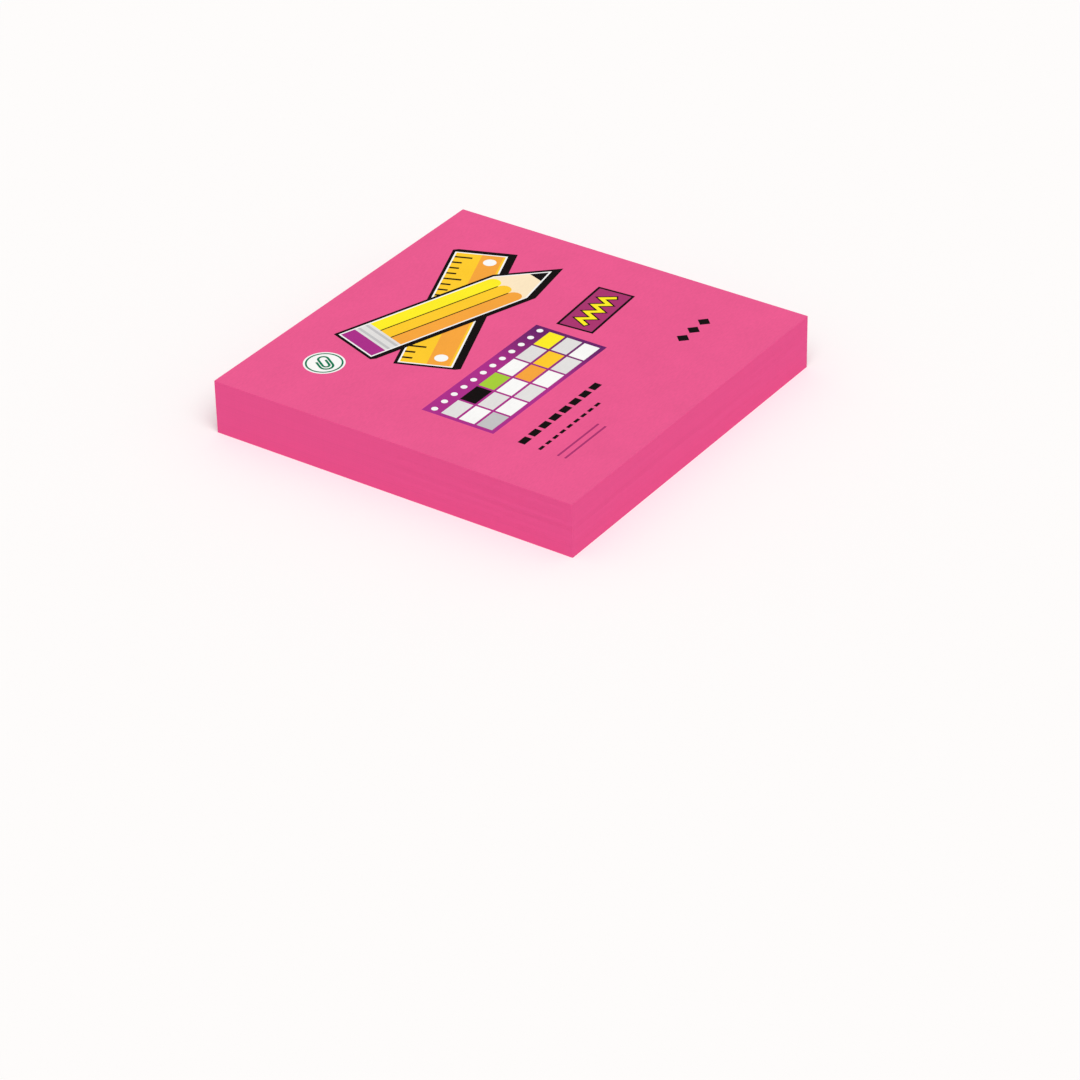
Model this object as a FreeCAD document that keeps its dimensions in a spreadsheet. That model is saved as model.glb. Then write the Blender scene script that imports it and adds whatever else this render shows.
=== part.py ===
import FreeCAD, Part
import os
import Sketcher

# Sticky note pad: a stack of square notes, each with a coat of glue along the back of
# its top edge, between a printed cover sheet and a backing sheet.
# The pad lies flat. +X runs along the lines of print, +Y up the page towards the glued
# edge, +Z up through the notes. The origin is the middle of the underside.

# Driving sizes in millimetres, apart from the count
DRIVING_SIZES = [
    ("sheet_width", "76", "every sheet, side to side along the print"),
    ("sheet_depth", "76", "every sheet, from the free edge to the glued edge"),
    ("note_count", "90", "notes between the cover and the backing"),
    ("note_caliper", "0.1", "thickness of one note"),
    ("cover_caliper", "0.1", "thickness of the printed cover sheet"),
    ("backing_caliper", "0.15", "thickness of the backing sheet"),
    ("glue_film", "0.015", "thickness of the glue coat, and so of the gap in front of it"),
    ("glue_strip_depth", "19", "from the glued edge to the front of the coat"),
    ("glue_setback", "0.3", "from each cut edge to the coat, which stops short of the knife"),
]

doc = FreeCAD.newDocument("StickyNotePad")


def make_size_sheet():
    """One row for each driving size: its name, its value and what it measures."""
    sheet = doc.addObject("Spreadsheet::Sheet", "Sizes")
    for row, (alias, value, meaning) in enumerate(DRIVING_SIZES, start=1):
        sheet.set(f"A{row}", alias)
        sheet.set(f"B{row}", value)
        sheet.set(f"C{row}", meaning)
        sheet.setAlias(f"B{row}", alias)
    return sheet


def new_body(label):
    """An empty body whose label names its file."""
    body = doc.addObject("PartDesign::Body", label)
    body.Label = label
    return body


def origin_feature(body, role):
    """The body's own plane or axis with that role."""
    return next(item for item in body.Origin.OriginFeatures if item.Role == role)


def level_sketch(body, name, height):
    """An empty level sketch, at a height above the body's base that is an expression."""
    sketch = body.newObject("Sketcher::SketchObject", name)
    sketch.AttachmentSupport = [(origin_feature(body, "XY_Plane"), "")]
    sketch.MapMode = "FlatFace"
    sketch.setExpression("AttachmentOffset.Base.z", height)
    return sketch


def draw_rectangle(sketch, width, depth, back_edge):
    """A rectangle centred across X, whose three measures are expressions.

    back_edge is how far its back edge lies behind the middle of the page.
    """
    half = 1  # a first guess, which the constraints stretch to size
    corners = [(-half, -half), (half, -half), (half, half), (-half, half)]
    points = [FreeCAD.Vector(x, y, 0) for x, y in corners]
    for start, end in zip(points, points[1:] + points[:1]):
        sketch.addGeometry(Part.LineSegment(start, end), False)
    lines = front_line, right_line, back_line, left_line = [0, 1, 2, 3]
    line_start, line_end = 1, 2
    for line, following in zip(lines, lines[1:] + lines[:1]):
        sketch.addConstraint(Sketcher.Constraint("Coincident", line, line_end, following, line_start))
    sketch.addConstraint(Sketcher.Constraint("Horizontal", back_line))
    sketch.addConstraint(Sketcher.Constraint("Vertical", right_line))
    sketch.addConstraint(Sketcher.Constraint("Vertical", left_line))
    vertical_axis = -2
    sketch.addConstraint(
        Sketcher.Constraint("Symmetric", front_line, line_start, front_line, line_end, vertical_axis)
    )
    origin_point = (-1, 1)
    add_driving(sketch, "width", width, "DistanceX", front_line, line_start, front_line, line_end, 2 * half)
    add_driving(sketch, "depth", depth, "DistanceY", right_line, line_start, right_line, line_end, 2 * half)
    add_driving(sketch, "back_edge", back_edge, "DistanceY", *origin_point, back_line, line_start, half)


def add_driving(sketch, name, expression, *constraint):
    """A named dimension whose value follows an expression."""
    index = sketch.addConstraint(Sketcher.Constraint(*constraint))
    sketch.renameConstraint(index, name)
    sketch.setExpression(f"Constraints.{name}", expression)


def add_pad(body, sketch, name, thickness):
    """Raises a sketch by a thickness that is an expression."""
    pad = body.newObject("PartDesign::Pad", name)
    pad.Profile = sketch
    pad.setExpression("Length", thickness)
    sketch.Visibility = False
    return pad


def add_glue_coat(body):
    """The coat on a sheet's back, along its top edge."""
    sketch = level_sketch(body, "GlueCoatOutline", "0")
    draw_rectangle(
        sketch,
        width="Sizes.sheet_width - 2 * Sizes.glue_setback",
        depth="Sizes.glue_strip_depth - Sizes.glue_setback",
        back_edge="Sizes.sheet_depth / 2 - Sizes.glue_setback",
    )
    return add_pad(body, sketch, "GlueCoat", "Sizes.glue_film")


def add_sheet(body, height, caliper):
    """The square sheet itself."""
    sketch = level_sketch(body, "SheetOutline", height)
    draw_rectangle(
        sketch,
        width="Sizes.sheet_width",
        depth="Sizes.sheet_depth",
        back_edge="Sizes.sheet_depth / 2",
    )
    return add_pad(body, sketch, "Sheet", caliper)


def make_backing_sheet():
    """A plain sheet that keeps the last note's glue off the desk."""
    body = new_body("backing_sheet")
    add_sheet(body, "0", "Sizes.backing_caliper")
    return body


def make_note_pages():
    """The notes as one block of leaves.

    A coat and its leaf repeat up the block. Each leaf is held only by the coats, so the
    block is open between its leaves, deep from the free edge and by the setback round
    the glued one.
    """
    body = new_body("note_pages")
    coat = add_glue_coat(body)
    leaf = add_sheet(body, "Sizes.glue_film", "Sizes.note_caliper")
    leaves = body.newObject("PartDesign::LinearPattern", "Leaves")
    leaves.Originals = [coat, leaf]
    leaves.Direction = (origin_feature(body, "Z_Axis"), [""])
    leaves.Mode = "Spacing"
    leaves.setExpression("Offset", "Sizes.glue_film + Sizes.note_caliper")
    leaves.setExpression("Occurrences", "Sizes.note_count")
    body.Tip = leaves
    body.setExpression("Placement.Base.z", "Sizes.backing_caliper")
    return body


def make_cover_sheet():
    """The printed sheet on top, glued along its back as a note is."""
    body = new_body("cover_sheet")
    add_glue_coat(body)
    add_sheet(body, "Sizes.glue_film", "Sizes.cover_caliper")
    body.setExpression(
        "Placement.Base.z",
        "Sizes.backing_caliper + Sizes.note_count * (Sizes.glue_film + Sizes.note_caliper)",
    )
    return body


def check_objects():
    """Stops if any feature failed to rebuild."""
    for item in doc.Objects:
        faults = [state for state in item.State if state in ("Invalid", "Error")]
        if faults:
            raise RuntimeError(f"{item.Label} did not rebuild: {faults}")


def check_solid(body):
    """Stops unless the body is one valid solid."""
    shape = body.Shape
    if shape.isNull() or not shape.isValid():
        raise RuntimeError(f"{body.Label} has no valid shape")
    if len(shape.Solids) != 1:
        raise RuntimeError(f"{body.Label} came out as {len(shape.Solids)} solids")


def write_body(body):
    """Writes the body's solid to a file of the same name."""
    path = os.path.join("parts", f"{body.Label}.step")
    body.Shape.exportStep(path)
    box = body.Shape.BoundBox
    print(
        f"{body.Label}: {box.XLength:.3f} x {box.YLength:.3f} x {box.ZLength:.3f} mm,",
        f"from z {box.ZMin:.3f}, {body.Shape.Volume:.1f} mm3, {len(body.Shape.Faces)} faces",
    )


make_size_sheet()
doc.recompute()
bodies = [make_backing_sheet(), make_note_pages(), make_cover_sheet()]
doc.recompute()
check_objects()
for body in bodies:
    check_solid(body)
os.makedirs("parts", exist_ok=True)
for body in bodies:
    write_body(body)
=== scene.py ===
import bpy
import math
from mathutils import Matrix, Vector, geometry, noise


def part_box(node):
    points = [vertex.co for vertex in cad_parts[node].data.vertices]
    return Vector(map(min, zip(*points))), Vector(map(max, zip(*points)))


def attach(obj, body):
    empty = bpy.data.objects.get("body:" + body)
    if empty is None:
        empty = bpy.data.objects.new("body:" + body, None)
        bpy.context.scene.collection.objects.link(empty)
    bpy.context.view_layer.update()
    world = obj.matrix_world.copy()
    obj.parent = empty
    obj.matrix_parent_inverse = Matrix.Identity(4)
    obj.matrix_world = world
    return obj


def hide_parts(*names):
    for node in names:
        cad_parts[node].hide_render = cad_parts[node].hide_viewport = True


# Sticky note pad: a printed cover sheet, a block of notes and a backing sheet.
# Places are in metres. The page lies face up: +X runs along the print, +Y up to the glued edge.

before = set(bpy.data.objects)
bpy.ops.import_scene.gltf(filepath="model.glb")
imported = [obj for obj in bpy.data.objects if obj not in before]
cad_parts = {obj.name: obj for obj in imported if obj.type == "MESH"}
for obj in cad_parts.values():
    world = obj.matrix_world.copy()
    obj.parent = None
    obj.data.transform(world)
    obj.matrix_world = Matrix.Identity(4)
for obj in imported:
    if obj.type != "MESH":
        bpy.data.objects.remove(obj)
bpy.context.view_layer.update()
mm = 0.001
print("frame loaded:", ", ".join(sorted(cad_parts)))


def linear(red, green, blue):  # a colour read off a screen, 0 to 255, as the shaders take it
    parts = [part / 255 for part in (red, green, blue)]
    return [part / 12.92 if part <= 0.04045 else ((part + 0.055) / 1.055) ** 2.4 for part in parts]


def toned(colour, share=1.0):  # the colour, darker or paler, with its alpha
    return [part * share for part in colour] + [1.0]


def pointing(heading, rise):  # a direction, by its angles clockwise from +Y and up from level, in radians
    return Vector((
        math.sin(heading) * math.cos(rise),
        math.cos(heading) * math.cos(rise),
        math.sin(rise),
    ))


# The camera
shot = {
    "focalLength": 138.27,              # millimetres
    "sensorWidth": 36.0,                # millimetres
    "heading": 55.02,                   # degrees clockwise from +Y, seen from above
    "pitch": 32.57,                     # degrees down from level
    "roll": -1.19,                      # degrees
    "distance": 744.6 * mm,             # from the middle of the pad's underside
    "slide": (4.42 * mm, -25.25 * mm),  # then to the camera's right, and up
}


def makeCamera():
    heading, pitch, roll = (math.radians(shot[name]) for name in ("heading", "pitch", "roll"))
    ahead = pointing(heading, -pitch)
    levelRight = Vector((math.cos(heading), -math.sin(heading), 0))
    levelUp = levelRight.cross(ahead)
    right = math.cos(roll) * levelRight + math.sin(roll) * levelUp
    up = math.cos(roll) * levelUp - math.sin(roll) * levelRight
    slideRight, slideUp = shot["slide"]
    place = slideRight * right + slideUp * up - shot["distance"] * ahead
    data = bpy.data.cameras.new("shotCamera")
    data.lens = shot["focalLength"]
    data.sensor_width = shot["sensorWidth"]
    camera = bpy.data.objects.new("shotCamera", data)
    camera.matrix_world = Matrix.Translation(place) @ Matrix((right, up, -ahead)).transposed().to_4x4()
    bpy.context.scene.collection.objects.link(camera)
    bpy.context.scene.camera = camera


makeCamera()
print("camera placed")


class Wire:  # an output in a node tree, which takes part in sums as a number does
    def __init__(self, tree, socket=None):
        self.tree = tree
        self.socket = socket

    def node(self, kind, settings=None, values=None, output=0):  # adds any kind of node to the tree
        made = self.tree.nodes.new("ShaderNode" + kind)
        for name, value in (settings or {}).items():
            setattr(made, name, value)
        for name, value in (values or {}).items():
            feed(made, name, value)
        return Wire(self.tree, made.outputs[output] if made.outputs else None)

    def maths(self, operation, first, second):
        return self.node("Math", {"operation": operation}, {0: first, 1: second})

    def __add__(self, other):
        return self.maths("ADD", self, other)

    def __rsub__(self, other):
        return self.maths("SUBTRACT", other, self)

    def __mul__(self, other):
        return self.maths("MULTIPLY", self, other)

    __radd__ = __add__
    __rmul__ = __mul__

    def stretched(self, x, y, z):  # a place, scaled along each axis
        return self.node("VectorMath", {"operation": "MULTIPLY"}, {0: self, 1: (x, y, z)})

    def speckle(self, size, detail=3):  # soft noise at this place, with lumps of about that size
        return self.node("TexNoise", None, {"Vector": self, "Scale": 1 / size, "Detail": detail}, "Fac")

    def between(self, low, high):  # 0 below low, 1 above high, and a smooth rise from one to the other
        values = {"Value": self, "From Min": low, "From Max": high}
        return self.node("MapRange", {"interpolation_type": "SMOOTHSTEP"}, values)

    def blend(self, first, second):  # two colours, mixed by this number, and no paler than white
        factor, colourA, colourB, colourResult = 0, 6, 7, 2  # the sockets of a Mix node
        values = {factor: self, colourA: first, colourB: second}
        return self.node("Mix", {"data_type": "RGBA", "clamp_result": True}, values, colourResult)

    def tint(self, colour, tone):  # a colour, made up to that much darker or paler by this number
        return self.blend(toned(colour, 1 - tone), toned(colour, 1 + tone))

    def bump(self, depth):
        return self.node("Bump", None, {"Distance": depth, "Height": self})


def feed(node, name, value):  # links a wire to a node's socket, or sets the socket to a value
    if isinstance(value, Wire):
        value.tree.links.new(value.socket, node.inputs[name])
    else:
        node.inputs[name].default_value = value


def makeFinish(name, look, *details):  # look is one of the functions below, which say what each socket gets
    material = bpy.data.materials.new(name)
    material.use_nodes = True
    tree = material.node_tree
    for socket, value in look(Wire(tree), *details).items():
        feed(tree.nodes["Principled BSDF"], socket, value)
    return material


# The paper of every sheet
paper = {
    "colour": linear(233, 86, 141),
    "cloudSize": 7 * mm,                 # darker and paler patches from the pulp
    "cloudTone": 0.06,
    "fibreSize": (0.9 * mm, 0.22 * mm),  # along the grain, and across it
    "fibreTone": 0.1,
    "toothSize": 0.16 * mm,              # the rise and fall of the surface
    "relief": 0.006 * mm,
    "fibreRelief": 0.6,                  # how far the fibres rise, as a share of that
    "roughness": (0.86, 0.97),
    "shine": 0.3,                        # an uncoated sheet throws back less light than plastic does
}


def pulp(place):  # the three scales of noise in the paper
    along, across = paper["fibreSize"]
    cloud = place.speckle(paper["cloudSize"])
    fibre = place.stretched(across / along, 1, 1).speckle(across, detail=4)
    tooth = place.speckle(paper["toothSize"])
    return cloud, fibre, tooth


def paperLook(tree):
    cloud, fibre, tooth = pulp(tree.node("TexCoord", output="Object"))
    tone = paper["cloudTone"] + paper["fibreTone"]
    mottle = cloud * (paper["cloudTone"] / tone) + fibre * (paper["fibreTone"] / tone)
    smooth, rough = paper["roughness"]
    return {
        "Base Color": mottle.tint(paper["colour"], tone),
        "Roughness": tooth * (rough - smooth) + smooth,
        "Specular IOR Level": paper["shine"],
        "Normal": (fibre * paper["fibreRelief"] + tooth).bump(paper["relief"]),
    }


# The cut edges, where each sheet has its own tone and the knife left faint upright marks
cutEdge = {
    "colour": linear(236, 81, 144),
    "leafTone": 0.05,
    "knifeSize": 0.5 * mm,
    "knifeTone": 0.02,
    "fluffSize": 0.08 * mm,
    "fluffTone": 0.04,
    "relief": 0.008 * mm,
    "knifeRelief": 0.5,  # how far the knife marks rise, as a share of that
    "roughness": 0.95,
}


def edgeLook(tree):
    place = tree.node("TexCoord", output="Object")
    leaf = tree.node("Attribute", {"attribute_name": "leafTone"}, output="Fac")
    knife = place.stretched(1, 1, 0).speckle(cutEdge["knifeSize"])
    fluff = place.speckle(cutEdge["fluffSize"])
    tones = [cutEdge[name] for name in ("leafTone", "knifeTone", "fluffTone")]
    tone = sum(tones)
    leafShare, knifeShare, fluffShare = (part / tone for part in tones)
    mottle = leaf * leafShare + knife * knifeShare + fluff * fluffShare
    return {
        "Base Color": mottle.tint(cutEdge["colour"], tone),
        "Roughness": cutEdge["roughness"],
        "Specular IOR Level": paper["shine"],
        "Normal": (knife * cutEdge["knifeRelief"] + fluff).bump(cutEdge["relief"]),
    }


glue = {
    "colour": linear(238, 150, 186),  # a milky coat, with the paper's pink behind it
    "tone": 0.06,
    "beadSize": 0.05 * mm,
    "roughness": (0.35, 0.6),
}


def glueLook(tree):
    beads = tree.node("TexCoord", output="Object").speckle(glue["beadSize"], detail=2)
    smooth, rough = glue["roughness"]
    return {
        "Base Color": beads.tint(glue["colour"], glue["tone"]),
        "Roughness": beads * (rough - smooth) + smooth,
    }


# The inks of the print. One with a second colour runs into it across the page.
inks = {
    "yellow": [linear(254, 238, 40)],
    "amber": [linear(254, 203, 46)],
    "orange": [linear(247, 166, 62)],
    "cream": [linear(253, 232, 196)],
    "white": [linear(250, 249, 247)],
    "pale": [linear(226, 224, 222)],
    "grey": [linear(196, 195, 196)],
    "black": [linear(10, 6, 6)],
    "purple": [linear(172, 48, 138), linear(104, 36, 104)],
    "plum": [linear(169, 54, 111)],
    "lime": [linear(166, 206, 58)],
    "green": [linear(16, 120, 82)],
}
inking = {
    "tone": 0.12,
    "runs": (-9 * mm, 9 * mm),  # where along the page an ink starts into its second colour, and ends
    "missed": 0.06,             # how much the paper shows where the ink missed a pit
    "pits": (0.62, 0.74),       # the depth at which a pit begins, and at which it is whole
    "relief": 0.007 * mm,
    "fibreRelief": 0.5,         # how far the paper's fibres show through, as a share of that
    "roughness": (0.5, 0.72),
    "shine": 0.02,
}


def inkLook(tree, colours):
    place = tree.node("TexCoord", output="Object")
    cloud, fibre, tooth = pulp(place)
    mottle = (cloud + fibre) * 0.5
    laid = mottle.tint(colours[0], inking["tone"])
    if len(colours) > 1:
        along = place.node("SeparateXYZ", None, {0: place}, "X")
        laid = along.between(*inking["runs"]).blend(laid, mottle.tint(colours[1], inking["tone"]))
    pits = (1 - tooth).between(*inking["pits"])
    smooth, rough = inking["roughness"]
    return {
        "Base Color": (pits * inking["missed"]).blend(laid, toned(paper["colour"])),
        "Roughness": (1 - pits) * (fibre * (rough - smooth) + smooth) + pits * paper["roughness"][1],
        "Specular IOR Level": inking["shine"],
        "Normal": (fibre * inking["fibreRelief"] + tooth).bump(inking["relief"]),
    }


paperFinish = makeFinish("brightPaper", paperLook)
edgeFinish = makeFinish("cutEdge", edgeLook)
glueFinish = makeFinish("glueCoat", glueLook)
inkFinishes = {name: makeFinish(name + "Ink", inkLook, colours) for name, colours in inks.items()}
print("finishes made: paper, cut edge, glue and", len(inks), "inks")


# A patch is a part of a piece's bake map: its left, bottom, width and height.
def spot(patch, across, up):  # a place in a patch, by its shares of the width and the height
    left, bottom, width, height = patch
    return left + width * across, bottom + height * up


def sidePatches(patch, pitch, start=0, end=1):  # one for each side, stacked upwards and cut to those shares
    left, bottom, width, height = patch
    return [
        (left, bottom + side * pitch + start * height, width, (end - start) * height)
        for side in range(4)
    ]


class Sheaf:  # gathers a piece's points and faces, with each face's finish, tone and place on the bake map
    def __init__(self, *finishes):
        self.finishes = list(finishes)
        self.points = []
        self.faces = []
        self.slots = []
        self.tones = []
        self.spots = []

    def point(self, x, y, z):
        self.points.append((x, y, z))
        return len(self.points) - 1

    def face(self, corners, finish, spots, tone=0.5):
        self.faces.append(corners)
        self.slots.append(self.finishes.index(finish))
        self.tones.append(tone)
        self.spots += spots

    def walls(self, under, over, patches, tone=0.5):  # the cut edges, from one outline up to the other
        perSide = len(under) // len(patches)
        for index in range(len(under)):
            following = (index + 1) % len(under)
            side, along = divmod(index, perSide)
            start, end = along / perSide, (along + 1) / perSide
            shares = ((start, 0), (end, 0), (end, 1), (start, 1))
            spots = [spot(patches[side], *share) for share in shares]
            self.face([under[index], under[following], over[following], over[index]], edgeFinish, spots, tone)

    def coat(self, outline, bottom, top, patch):  # a coat of glue
        corners = [self.point(x, y, z) for z in (bottom, top) for x, y in outline]
        spots = [spot(patch, *share) for share in ((0, 0), (1, 0), (1, 1), (0, 1))]
        for face in ((3, 2, 1, 0), (4, 5, 6, 7), (0, 1, 5, 4), (1, 2, 6, 5), (2, 3, 7, 6), (3, 0, 4, 7)):
            self.face([corners[corner] for corner in face], glueFinish, spots)

    def piece(self, name, node):  # the finished object, in place of a node of the frame
        mesh = bpy.data.meshes.new(name)
        mesh.from_pydata(self.points, [], self.faces)
        for finish in self.finishes:
            mesh.materials.append(finish)
        mesh.polygons.foreach_set("material_index", self.slots)
        mesh.attributes.new("leafTone", "FLOAT", "FACE").data.foreach_set("value", self.tones)
        bakeMap = mesh.uv_layers.new(name="OFBake")
        bakeMap.data.foreach_set("uv", [part for place in self.spots for part in place])
        mesh.update()
        made = bpy.data.objects.new(name, mesh)
        bpy.context.scene.collection.objects.link(made)
        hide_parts(node)
        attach(made, "root")


# What the leaves of the block share with the cover
sheets = {
    "steps": 14,                # grid squares along a side
    "stray": 0.012 * mm,        # how far a cut edge strays from the knife's plane
    "strayLength": 9 * mm,      # from one stray to the next
    "strayRhythm": 0.45,        # how much it changes from sheet to sheet
    "sideSeed": (5, 0, 0),      # which noise the left and right edges stray by
    "frontSeed": (0, 9, 0),     # and the front and back ones
}


def sheetPoint(box, column, row, number):  # a point of the grid on the sheet with that number
    low, high = box
    steps, length = sheets["steps"], sheets["strayLength"]
    x = low.x + (high.x - low.x) * column / steps
    y = low.y + (high.y - low.y) * row / steps
    here = Vector((x / length, y / length, number * sheets["strayRhythm"]))
    if column in (0, steps):
        x += sheets["stray"] * noise.noise(here + Vector(sheets["sideSeed"]))
    if row in (0, steps):
        y += sheets["stray"] * noise.noise(here + Vector(sheets["frontSeed"]))
    return x, y


def rimPlaces():  # the grid's outline, anticlockwise from its low corner
    steps = sheets["steps"]
    out, back = range(steps), range(steps, 0, -1)
    places = [(column, 0) for column in out] + [(steps, row) for row in out]
    return places + [(column, steps) for column in back] + [(0, row) for row in back]


def readSheets(node):  # the heights of a node's faces, from its foot up, and the outline of its coats of glue
    points = [vertex.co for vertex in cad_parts[node].data.vertices]
    decimals = 7  # finer than any sheet or coat
    heights = sorted({round(point.z, decimals) for point in points})
    foot = [point for point in points if round(point.z, decimals) == heights[0]]
    left, right = min(point.x for point in foot), max(point.x for point in foot)
    front, back = min(point.y for point in foot), max(point.y for point in foot)
    return heights, [(left, front), (right, front), (right, back), (left, back)]


# The block of notes
notes = {
    "lift": 0.05 * mm,       # how far the leaves ease up and down in front of the glue
    "liftReach": 30 * mm,    # from the glue to where they are free
    "liftLength": 28 * mm,   # from one easing to the next
    "liftRhythm": 0.11,      # the same up the block, as a share of its height
    "toneRhythm": 7.31,      # how much the edge's tone changes from leaf to leaf
    "leafPatch": (0.01, 0.81, 0.18, 0.18),
    "wallPatch": (0.01, 0.01, 0.98, 0.18),
    "wallPitch": 0.2,
    "gluePatch": (0.85, 0.85, 0.13, 0.13),
}


def eased(share):  # a smooth rise from 0 to 1
    share = min(1.0, max(0.0, share))
    return share * share * (3 - 2 * share)


def easedUp(x, y, level, glueFront):  # how far a leaf has risen; level is 0 at the block's foot, 1 at its top
    free = eased((glueFront - y) / notes["liftReach"]) * math.sin(math.pi * level)
    span = notes["liftLength"]
    return notes["lift"] * free * noise.noise(Vector((x / span, y / span, level / notes["liftRhythm"])))


def addFlats(sheaf, under, over):  # a leaf's two faces
    steps = sheets["steps"]
    for row in range(steps):
        for column in range(steps):
            around = [(column, row), (column + 1, row), (column + 1, row + 1), (column, row + 1)]
            spots = [spot(notes["leafPatch"], a / steps, b / steps) for a, b in around]
            sheaf.face([over[place] for place in around], paperFinish, spots)
            sheaf.face([under[place] for place in around[::-1]], paperFinish, spots[::-1])


def makeNotes():
    box = low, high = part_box("note_pages")
    heights, coatOutline = readSheets("note_pages")
    glueFront = coatOutline[0][1]
    steps, rim = sheets["steps"], rimPlaces()
    grid = [(column, row) for row in range(steps + 1) for column in range(steps + 1)]
    leafCount = len(heights) // 2
    sheaf = Sheaf(paperFinish, edgeFinish, glueFinish)
    for number in range(leafCount):
        coatBottom, bottom, top = heights[2 * number:2 * number + 3]
        sheaf.coat(coatOutline, coatBottom, bottom, notes["gluePatch"])
        level = (number + 0.5) / leafCount
        flat = {place: sheetPoint(box, *place, number) for place in grid}
        lifts = {place: easedUp(*flat[place], level, glueFront) for place in grid}
        under = {place: sheaf.point(*flat[place], bottom + lifts[place]) for place in grid}
        over = {place: sheaf.point(*flat[place], top + lifts[place]) for place in grid}
        addFlats(sheaf, under, over)
        start, end = ((z - low.z) / (high.z - low.z) for z in (bottom, top))
        patches = sidePatches(notes["wallPatch"], notes["wallPitch"], start, end)
        offGrid = Vector((number * notes["toneRhythm"], 0.5, 0.5))  # at whole numbers the noise is always 0
        tone = 0.5 + 0.5 * noise.noise(offGrid)
        sheaf.walls([under[place] for place in rim], [over[place] for place in rim], patches, tone)
    sheaf.piece("noteLeaves", "note_pages")
    print("notes made:", leafCount, "leaves,", len(sheaf.faces), "faces")


makeNotes()


# Outlines for the print, in millimetres. Each runs anticlockwise.
def placed(outline, x, y, turn=0):
    cosine, sine = math.cos(math.radians(turn)), math.sin(math.radians(turn))
    return [(x + a * cosine - b * sine, y + a * sine + b * cosine) for a, b in outline]


def bar(length, width):
    half, rise = length / 2, width / 2
    return [(-half, -rise), (half, -rise), (half, rise), (-half, rise)]


def arc(x, y, radius, start, end, steps=8):  # from one angle to another, in degrees
    turns = [math.radians(start + (end - start) * step / steps) for step in range(steps + 1)]
    return [(x + radius * math.cos(turn), y + radius * math.sin(turn)) for turn in turns]


def disc(radius, steps=48):
    return arc(0, 0, radius, 0, 360, steps)[:-1]


def shifted(first, second, by):  # the line from first to second, moved to its right
    away = Vector((second[1] - first[1], first[0] - second[0], 0)).normalized() * by
    return Vector(first).to_3d() + away, Vector(second).to_3d() + away


def meeting(before, after):  # where two lines meet
    return tuple(geometry.intersect_line_line(*before, *after)[0][:2])


def grown(outline, by):  # an outline with no inward corner, larger all round
    sides = [shifted(first, second, by) for first, second in zip(outline, outline[1:] + outline[:1])]
    return [meeting(before, after) for before, after in zip(sides[-1:] + sides[:-1], sides)]


def beyond(first, second, by):  # a point that far past the second one, in line with the first
    return tuple(Vector(second) + (Vector(second) - Vector(first)).normalized() * by)


def stroke(path, width, past=0):  # a line along a path, whose square ends reach that far past it
    path = [beyond(path[1], path[0], past), *path[1:-1], beyond(path[-2], path[-1], past)]
    halves = []
    for by in (width / 2, -width / 2):
        sides = [shifted(first, second, by) for first, second in zip(path, path[1:])]
        turns = [meeting(before, after) for before, after in zip(sides, sides[1:])]
        halves.append([tuple(sides[0][0][:2]), *turns, tuple(sides[-1][1][:2])])
    right, left = halves
    return right + left[::-1]


# The print, in millimetres from the middle of the page. A shape is its ink and its outline, and a later
# shape covers an earlier one.
keyline = {"black": 0.95, "white": 0.32, "shadow": (0.75, -0.75)}  # round the ruler and the pencil


def onPage(motif, shapes):
    return [(ink, placed(outline, *motif["at"], motif.get("turn", 0))) for ink, outline in shapes]


def keyed(motif, body, shapes):  # on the page, over a white line round the body and a black block shadow
    behind = placed(grown(body, keyline["black"]), *motif["at"], motif["turn"])
    corners = behind + placed(behind, *keyline["shadow"])
    shadow = [corners[index] for index in geometry.convex_hull_2d(corners)]
    return [("black", shadow)] + onPage(motif, [("white", grown(body, keyline["white"])), *shapes])


ruler = {
    "at": (6, 17.4),
    "turn": 21,           # degrees
    "length": 41,
    "width": 9.4,
    "band": 4.1,          # the orange one along the ruler
    "bandFrom": 0.4,      # the lower side
    "ticks": 19,
    "tickPitch": 2.1,
    "tickWidth": 0.55,
    "shortTick": 1.9,
    "longTick": 3.4,
    "longTicks": range(2, 19, 4),  # which ones, counted from 0
    "hole": 1.25,
    "holeFromEnd": 2.6,
}


def rulerShapes():
    body = bar(ruler["length"], ruler["width"])
    bandY = ruler["bandFrom"] + (ruler["band"] - ruler["width"]) / 2
    shapes = [("amber", body), ("orange", placed(bar(ruler["length"], ruler["band"]), 0, bandY))]
    for tick in range(ruler["ticks"]):
        reach = ruler["longTick"] if tick in ruler["longTicks"] else ruler["shortTick"]
        x = (tick - (ruler["ticks"] - 1) / 2) * ruler["tickPitch"]
        shapes.append(("black", placed(bar(ruler["tickWidth"], reach), x, (ruler["width"] - reach) / 2)))
    holeX = ruler["length"] / 2 - ruler["holeFromEnd"]
    shapes += [("white", placed(disc(ruler["hole"]), x, bandY)) for x in (-holeX, holeX)]
    return keyed(ruler, body, shapes)


pencil = {
    "at": (6, 17.4),
    "turn": -19,          # degrees
    "length": 43,
    "width": 9.6,
    "cone": 8.9,          # the sharpened end
    "lead": 3.1,          # the black at its tip
    "sides": ("orange", "amber", "yellow"),
    "crease": 0.28,       # the line between two sides
    "eraser": 3.0,
    "collar": 3.4,
    "ridge": 0.6,
    "ridges": (0.25, 0.75),  # shares of the collar
}


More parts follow.
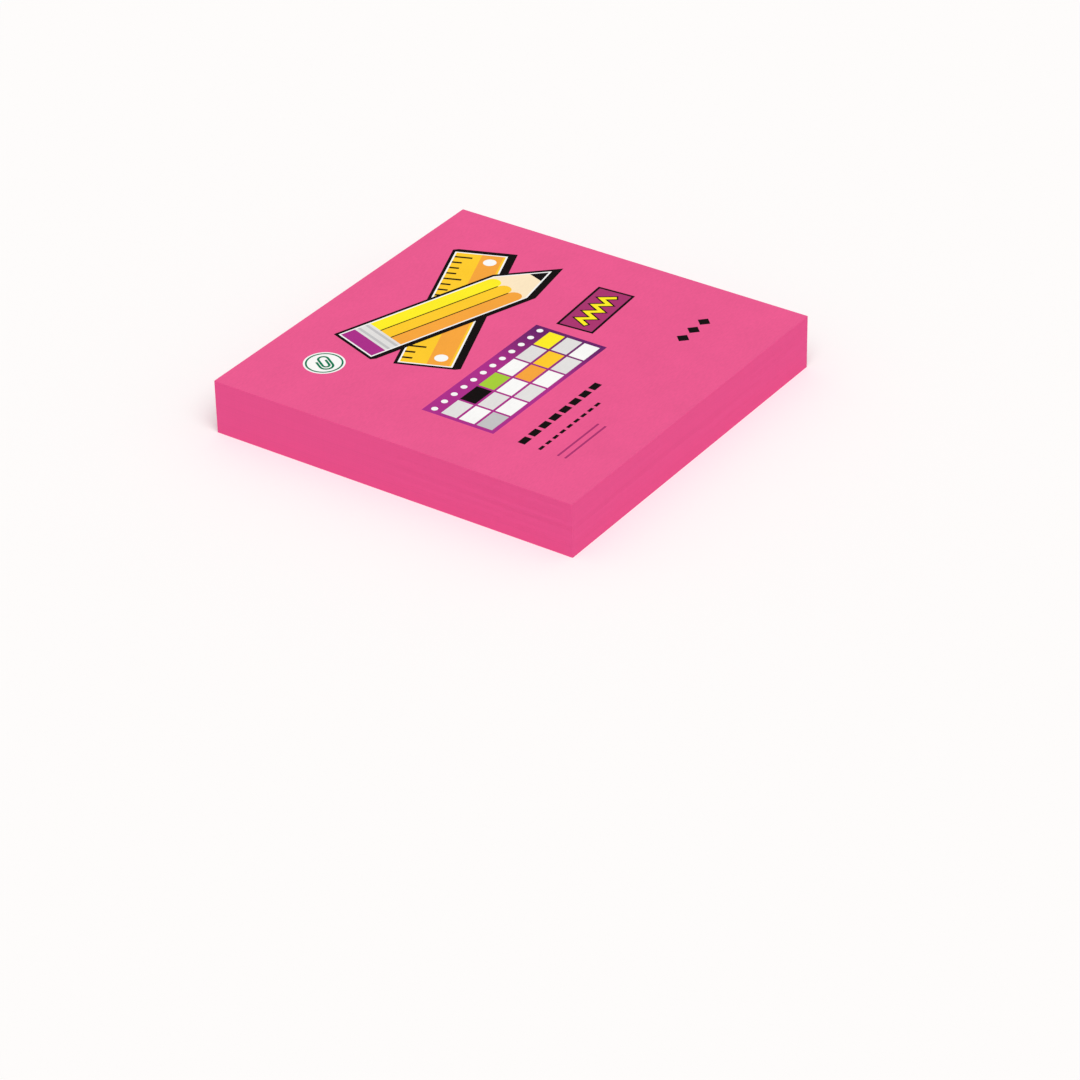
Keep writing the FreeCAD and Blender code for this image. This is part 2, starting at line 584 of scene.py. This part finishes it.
def pencilShapes():
    end, half = pencil["length"] / 2, pencil["width"] / 2
    shoulder = end - pencil["cone"]
    body = [(-end, -half), (shoulder, -half), (end, 0), (shoulder, half), (-end, half)]
    shapes = [("cream", body)]
    radius = half / len(pencil["sides"])  # each painted side ends in a round where it was cut
    for index, ink in enumerate(pencil["sides"]):
        foot = 2 * radius * index - half
        cut = arc(shoulder - radius, foot + radius, radius, -90, 90)
        shapes.append((ink, [(-end, foot), *cut, (-end, foot + 2 * radius)]))
        if index:
            shapes.append(("black", stroke([(-end, foot), (shoulder - radius, foot)], pencil["crease"])))
    collar = pencil["eraser"] + pencil["collar"]
    shapes.append(("pale", placed(bar(collar, pencil["width"]), collar / 2 - end, 0)))
    for share in pencil["ridges"]:
        ridgeX = pencil["eraser"] + pencil["collar"] * share - end
        shapes.append(("grey", placed(bar(pencil["ridge"], pencil["width"]), ridgeX, 0)))
    shapes.append(("purple", placed(bar(pencil["eraser"], pencil["width"]), pencil["eraser"] / 2 - end, 0)))
    leadX, leadY = end - pencil["lead"], half * pencil["lead"] / pencil["cone"]
    shapes.append(("black", [(leadX, -leadY), (end, 0), (leadX, leadY)]))
    return keyed(pencil, body, shapes)


planner = {
    "at": (-8.6, -6.2),
    "width": 35.4,
    "height": 15.2,
    "header": 3.5,
    "holes": 12,
    "hole": 0.62,
    "columns": 6,
    "rows": 3,
    "rim": 0.9,
    "gap": 0.5,
    "filled": {           # by column and row, from the lower left
        (0, 0): "grey",
        (1, 2): "black",
        (2, 2): "lime",
        (3, 1): "orange",
        (4, 1): "amber",
        (5, 2): "yellow",
    },
}


def plannerShapes():
    width, height, header = planner["width"], planner["height"], planner["header"]
    rim, gap = planner["rim"], planner["gap"]
    shapes = [("purple", bar(width, height))]
    for index in range(planner["holes"]):
        x = width * ((index + 0.5) / planner["holes"] - 0.5)
        shapes.append(("white", placed(disc(planner["hole"], steps=24), x, (height - header) / 2)))
    cellWidth = (width - 2 * rim + gap) / planner["columns"] - gap
    cellHeight = (height - header - rim + gap) / planner["rows"] - gap
    for column in range(planner["columns"]):
        for row in range(planner["rows"]):
            x = rim + (cellWidth - width) / 2 + column * (cellWidth + gap)
            y = rim + (cellHeight - height) / 2 + row * (cellHeight + gap)
            plain = "white" if (column + row) % 2 else "pale"
            ink = planner["filled"].get((column, row), plain)
            shapes.append((ink, placed(bar(cellWidth, cellHeight), x, y)))
    return onPage(planner, shapes)


plate = {
    "at": (19.3, -4.6),
    "turn": 4,            # degrees
    "width": 14.6,
    "height": 6.6,
    "rim": 0.5,
    "peaks": 9,           # of the zigzag, up and down
    "peakPitch": 1.4,
    "peakRise": 1.2,
    "line": 0.8,
    "lineRim": 0.3,
}


def plateShapes():
    body = bar(plate["width"], plate["height"])
    zigzag = []
    for index in range(plate["peaks"]):
        x = (index - (plate["peaks"] - 1) / 2) * plate["peakPitch"]
        zigzag.append((x, plate["peakRise"] if index % 2 else -plate["peakRise"]))
    return onPage(plate, [
        ("black", grown(body, plate["rim"])),
        ("plum", body),
        ("black", stroke(zigzag, plate["line"] + 2 * plate["lineRim"], plate["lineRim"])),
        ("yellow", stroke(zigzag, plate["line"])),
    ])


seal = {
    "at": (-22.5, 25.4),
    "radius": 3.8,
    "ringFrom": 0.35,     # the rim
    "ring": 0.35,
    "clipTurn": -32,      # degrees
    "clipEnds": ((-1.2, 0.8), (0.6, 0.9)),
    "clipBends": (        # the middle, the radius, and the angles it runs from and to
        (0, -1.1, 1.2, 180, 360),
        (0.3, 1.3, 0.9, 0, 180),
        (0, -0.9, 0.6, 180, 360),
    ),
    "wire": 0.44,
}


def sealShapes():
    start, end = seal["clipEnds"]
    bends = [place for bend in seal["clipBends"] for place in arc(*bend)]
    ringOuter = seal["radius"] - seal["ringFrom"]
    return onPage(seal, [
        ("white", disc(seal["radius"])),
        ("green", disc(ringOuter)),
        ("white", disc(ringOuter - seal["ring"])),
        ("green", placed(stroke([start, *bends, end], seal["wire"]), 0, 0, seal["clipTurn"])),
    ])


markRows = [  # each of like marks, from the middle of the first
    {"ink": "black", "at": (-25.15, -19.6), "count": 8, "pitch": 3.1, "length": 2.3, "width": 1.5},
    {"ink": "black", "at": (-25.6, -23.4), "count": 9, "pitch": 2.15, "length": 1.4, "width": 0.65},
    {"ink": "plum", "at": (-20, -27.2), "count": 1, "pitch": 0, "length": 12.6, "width": 0.42},
    {"ink": "plum", "at": (-20, -28.7), "count": 1, "pitch": 0, "length": 12.6, "width": 0.42},
    {"ink": "black", "at": (19.2, -23.4), "count": 3, "pitch": 3.5, "length": 1.9, "width": 1.9, "turn": 45},
]


def rowShapes():
    shapes = []
    for row in markRows:
        x, y = row["at"]
        mark = bar(row["length"], row["width"])
        for index in range(row["count"]):
            shapes.append((row["ink"], placed(mark, x + index * row["pitch"], y, row.get("turn", 0))))
    return shapes


# The cover sheet, whose top is cut up along the outlines of the print
cover = {
    "number": 100,        # past the last leaf's, so that its edges stray in their own way
    "weldWithin": 0.002,  # millimetres
    "topPatch": (0.01, 0.01, 0.92, 0.92),
    "undersidePatch": (0.945, 0.945, 0.045, 0.045),
    "wallPatch": (0.01, 0.942, 0.92, 0.009),
    "wallPitch": 0.013,
    "gluePatch": (0.945, 0.88, 0.045, 0.045),
}


def printedFaces(outline):  # triangles for the page, each with the finish of the last shape that covers it
    shapes = rulerShapes() + pencilShapes() + plannerShapes() + plateShapes() + sealShapes() + rowShapes()
    finishes = [paperFinish] + [inkFinishes[ink] for ink, shape in shapes]
    points, loops = [], []
    for layer in [outline] + [shape for ink, shape in shapes]:
        loops.append(list(range(len(points), len(points) + len(layer))))
        points += [Vector(place) for place in layer]
    insideOnly = 1  # the kind of result that leaves out what lies beyond the outlines
    places, _, faces, fromPoints, _, fromLayers = geometry.delaunay_2d_cdt(
        points, [], loops, insideOnly, cover["weldWithin"]
    )
    found = {origin: index for index, origins in enumerate(fromPoints) for origin in origins}
    rim = [found[index] for index in loops[0]]
    return places, faces, [finishes[max(layers)] for layers in fromLayers], rim


def sharesOf(box, x, y):  # how far a point lies across a sheet and up it, from 0 to 1
    low, high = box
    return (x - low.x) / (high.x - low.x), (y - low.y) / (high.y - low.y)


def makeCover():
    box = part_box("cover_sheet")
    (coatBottom, bottom, top), coatOutline = readSheets("cover_sheet")
    outline = [sheetPoint(box, *place, cover["number"]) for place in rimPlaces()]
    places, faces, finishes, rim = printedFaces([(x / mm, y / mm) for x, y in outline])
    sheaf = Sheaf(paperFinish, edgeFinish, glueFinish, *inkFinishes.values())
    for x, y in places:
        sheaf.point(x * mm, y * mm, top)
    for corners, finish in zip(faces, finishes):
        spots = [spot(cover["topPatch"], *sharesOf(box, *places[corner] * mm)) for corner in corners]
        sheaf.face(corners, finish, spots)
    under = [sheaf.point(x, y, bottom) for x, y in outline]
    spots = [spot(cover["undersidePatch"], *sharesOf(box, x, y)) for x, y in outline]
    sheaf.face(under[::-1], paperFinish, spots[::-1])
    sheaf.walls(under, rim, sidePatches(cover["wallPatch"], cover["wallPitch"]))
    sheaf.coat(coatOutline, coatBottom, bottom, cover["gluePatch"])
    sheaf.piece("printedCover", "cover_sheet")
    print("cover made:", len(faces), "faces in its printed top")


makeCover()


# The backing sheet, which keeps the frame's own shape
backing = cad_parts["backing_sheet"]
backing.data.materials.clear()
backing.data.materials.append(paperFinish)
print("backing dressed")


# The floor and the light. The sky and the lamp add up to 1 on a level surface, so that colours come out
# as they are written.
studio = {
    "floorColour": linear(254, 252, 251),
    "floorRadius": 4.0,
    "skyLight": 0.5,
    "lampLight": 0.5,
    "lampHeading": 225.0,  # degrees clockwise from +Y, where the lamp stands
    "lampHeight": 58.0,    # degrees above level
    "lampSpread": 50.0,    # degrees that it fills
}


def floorLook(tree):
    return {
        "Base Color": toned(studio["floorColour"]),
        "Roughness": 1.0,
        "Specular IOR Level": 0.0,
    }


def makeFloor():
    rim = [(x, y, 0) for x, y in disc(studio["floorRadius"], steps=96)]
    mesh = bpy.data.meshes.new("studioFloor")
    mesh.from_pydata(rim, [], [list(range(len(rim)))])
    mesh.materials.append(makeFinish("floorPaint", floorLook))
    floor = bpy.data.objects.new("studioFloor", mesh)
    bpy.context.scene.collection.objects.link(floor)


def makeSky():  # what is seen, straight or mirrored, is the backdrop, and all else is lit by the sky
    world = bpy.data.worlds.new("studioSky")
    bpy.context.scene.world = world
    world.use_nodes = True
    world.node_tree.nodes.clear()
    tree = Wire(world.node_tree)
    rays = [tree.node("LightPath", output=f"Is {kind} Ray") for kind in ("Camera", "Glossy", "Transmission")]
    lighting = tree.node("Background", None, {"Color": (1, 1, 1, 1), "Strength": studio["skyLight"]})
    backdrop = tree.node("Background", None, {"Color": toned(studio["floorColour"]), "Strength": 1.0})
    sky = tree.node("MixShader", None, {0: sum(rays), 1: lighting, 2: backdrop})
    tree.node("OutputWorld", None, {"Surface": sky})


def makeLamp():
    heading, height = math.radians(studio["lampHeading"]), math.radians(studio["lampHeight"])
    data = bpy.data.lights.new("studioLamp", "SUN")
    data.energy = studio["lampLight"] * math.pi / math.sin(height)
    data.angle = math.radians(studio["lampSpread"])
    lamp = bpy.data.objects.new("studioLamp", data)
    lamp.matrix_world = pointing(heading, height).to_track_quat("Z", "Y").to_matrix().to_4x4()
    bpy.context.scene.collection.objects.link(lamp)


makeFloor()
makeSky()
makeLamp()
bpy.context.scene.view_settings.view_transform = "Standard"
print("studio lit")
